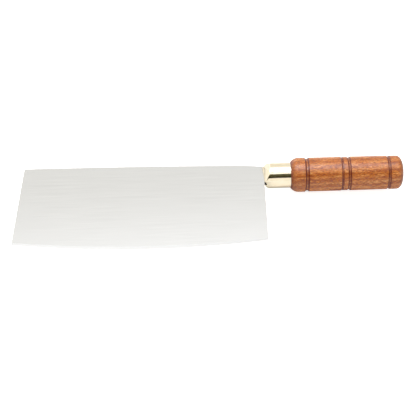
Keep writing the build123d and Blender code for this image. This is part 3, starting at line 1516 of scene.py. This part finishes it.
@dataclass
class Studio:
    """Camera, lamps, world and floor, in metres and radians."""

    camera_place: tuple[float, float, float] = (-0.03590, -0.53100, 0.54191)
    camera_heading: float = -0.0228
    camera_pitch: float = 0.82937
    camera_roll: float = -0.0443
    camera_clip: tuple[float, float] = (0.01, 20.0)
    lens: float = 78.2
    sensor: float = 36.0
    softbox_size: tuple[float, float] = (1.8, 1.0)
    softbox_place: tuple[float, float, float] = (-0.4, 0.33, 1.8)
    softbox_turn: float = -0.26
    softbox_power: float = 28.5
    room_strength: float = 0.45
    room_colour: str = "#FFFDFA"
    # What polished metal mirrors, from straight ahead to straight up
    backdrop_tones: Stops = (
        (0.4, "#D1CEC8"),
        (0.68, "#CAC9C5"),
        (0.735, "#CFCECB"),
        (0.82, "#FFFFFF"),
        (0.9, "#F8F8F8"),
        (0.98, "#D3D3D3"),
    )
    # Strength of the backdrop from the far side to the camera's
    backdrop_range: Range = (0.3, -0.7, 1.51, 1.67)
    wall_heading: tuple[float, float, float] = (-0.65, 0.75, 0.0)
    wall_range: Range = (0.72, 0.88, 0.0, 0.85)
    flag_distance: float = 0.32
    # Place along the handle, then the flag's lower and upper edge in degrees above the floor
    flag_edges: tuple[tuple[float, float, float], ...] = (
        (-1.0, 12.0, 78.0),
        (-0.6, 18.0, 70.0),
        (-0.25, 22.5, 58.5),
        (0.05, 21.5, 58.5),
        (0.3, 18.5, 61.0),
    )
    flag_steps: int = 6
    floor_size: float = 3.0
    floor_gap: float = 0.00005

    def set_camera(self) -> None:
        """Places the camera at the photograph's viewing angle."""
        heading, pitch, roll = self.camera_heading, self.camera_pitch, self.camera_roll
        ahead = Vector((math.sin(heading), math.cos(heading), 0.0))
        forward = ahead * math.cos(pitch) - Vector((0.0, 0.0, math.sin(pitch)))
        level = Vector((math.cos(heading), -math.sin(heading), 0.0))
        upright = level.cross(forward)
        right = math.cos(roll) * level + math.sin(roll) * upright
        up = math.cos(roll) * upright - math.sin(roll) * level
        camera = bpy.data.objects.new("camera", bpy.data.cameras.new("camera"))
        camera.data.lens = self.lens
        camera.data.sensor_width = self.sensor
        camera.data.clip_start, camera.data.clip_end = self.camera_clip
        turned = Matrix((right, up, -forward)).transposed().to_4x4()
        camera.matrix_world = Matrix.Translation(self.camera_place) @ turned
        bpy.context.scene.collection.objects.link(camera)
        bpy.context.scene.camera = camera
        bpy.context.scene.view_settings.view_transform = "Standard"

    def set_world(self) -> None:
        """Lights the room evenly; the camera sees white, and polished metal a pale backdrop."""
        world = bpy.data.worlds.new("studio")
        bpy.context.scene.world = world
        world.use_nodes = True
        world.node_tree.nodes.clear()
        add = partial(add_node, world.node_tree)
        path = add("ShaderNodeLightPath").node.outputs
        room = add("ShaderNodeBackground", (linear(self.room_colour), self.room_strength))
        heading = add("ShaderNodeTexCoord", out="Generated")
        headings = add("ShaderNodeSeparateXYZ", (heading,)).node.outputs
        tone = add("ShaderNodeValToRGB", (headings["Z"],), stops=self.backdrop_tones)
        near = add("ShaderNodeMapRange", (headings["Y"], *self.backdrop_range))
        aims = (heading, self.wall_heading)
        towards = add("ShaderNodeVectorMath", aims, "Value", operation="DOT_PRODUCT")
        lit_wall = add("ShaderNodeMapRange", (towards, *self.wall_range))
        strength = add("ShaderNodeMath", (near, lit_wall), operation="ADD")
        backdrop = add("ShaderNodeBackground", (tone, strength))
        white = add("ShaderNodeBackground", (linear("#FFFFFF"),))
        mirrors = (path["Is Glossy Ray"], path["Is Transmission Ray"])
        mirror = add("ShaderNodeMath", mirrors, operation="MAXIMUM")
        seen = add("ShaderNodeMixShader", (mirror, room, backdrop))
        whole = add("ShaderNodeMixShader", (path["Is Camera Ray"], seen, white))
        add("ShaderNodeOutputWorld", {"Surface": whole})

    def set_softbox(self, lit: Sequence[Piece]) -> None:
        """Hangs one broad soft lamp over the knife.

        Args:
            lit: The pieces that it lights. The blade isn't one, because a satin sheet that lies
                under a lamp mirrors it and would be white on white from above.
        """
        lamp = bpy.data.lights.new("softbox", "AREA")
        lamp.shape = "RECTANGLE"
        lamp.size, lamp.size_y = self.softbox_size
        lamp.energy = self.softbox_power
        softbox = bpy.data.objects.new("softbox", lamp)
        softbox.location = self.softbox_place
        softbox.rotation_euler.z = self.softbox_turn
        softbox.visible_camera = False
        bpy.context.scene.collection.objects.link(softbox)
        reach = bpy.data.collections.new("lit_by_softbox")
        for piece in lit:
            reach.objects.link(piece)
        softbox.light_linking.receiver_collection = reach

    def set_flag(self) -> None:
        """Hangs a black flag on the camera's side, seen only in polished surfaces."""
        rows = []
        for x, low, high in self.flag_edges:
            turns = [math.radians(angle) for angle in steps(low, high, self.flag_steps)]
            aims = [Vector((0.0, -math.cos(turn), math.sin(turn))) for turn in turns]
            rows.append([Vector((x, 0.0, 0.0)) + self.flag_distance * aim for aim in aims])
        flag = self.sheet("black_flag", rows)
        flag.data.materials.append(BlackFlag("black_flag").material())
        flag.visible_camera = False
        flag.visible_diffuse = False
        flag.visible_shadow = False

    def set_floor(self, blade: Blade, handle: Handle) -> Piece:
        """Lays the floor under the knife as it rests, on its handle's lobe and the blade's tip.

        Args:
            blade: The blade.
            handle: The handle.

        Returns:
            The floor.
        """
        lobe = Vector((handle.front + handle.shoulder_length, 0.0, -handle.lobe_radius)) * MM
        upper, lower = (
            Vector((blade.tip_x, blade.edge.below(blade.tip_x, inset), -blade.half_at(inset))) * MM
            for inset in (blade.grind_height, blade.shoulder(blade.tip_x))
        )
        normal = (lobe - upper).cross(lower - upper).normalized()
        if normal.z < 0:
            normal = -normal
        along = Vector((1.0, 0.0, -normal.x / normal.z)).normalized()
        across = normal.cross(along)
        middle = lobe - normal * self.floor_gap
        half = self.floor_size / 2
        rows = [
            [middle + along * half * there + across * half * here for there in (-1, 1)]
            for here in (-1, 1)
        ]
        floor = self.sheet("floor", rows)
        floor.data.materials.append(StudioPaper("studio_paper").material())
        return floor

    def sheet(self, name: str, rows: Sequence[Sequence[Vector]]) -> Piece:
        """Makes a stage sheet.

        Args:
            name: Name of the sheet.
            rows: Its points, row by row, with as many in each.

        Returns:
            The sheet.
        """
        mesh = bpy.data.meshes.new(name)
        width = len(rows[0])
        places = [tuple(point) for row in rows for point in row]
        faces = [
            (start + here, start + here + 1, start + width + here + 1, start + width + here)
            for start in range(0, len(places) - width, width)
            for here in range(width - 1)
        ]
        mesh.from_pydata(places, [], faces)
        sheet = new_piece(name, mesh)
        return sheet


def main() -> None:
    """Builds the cleaver's pieces in order, then the studio round them."""
    logging.basicConfig(level=logging.INFO, format="%(message)s")
    lathe = Lathe()
    blade = Blade()
    blade.build()
    handle = Handle()
    lit = [
        Tang().build(lathe),
        Ferrule().build(),
        handle.build(lathe),
        ButtWasher().build(lathe),
    ]
    studio = Studio()
    studio.set_camera()
    studio.set_world()
    studio.set_flag()
    floor = studio.set_floor(blade, handle)
    studio.set_softbox([*lit, floor])


if __name__ == "__main__":
    main()
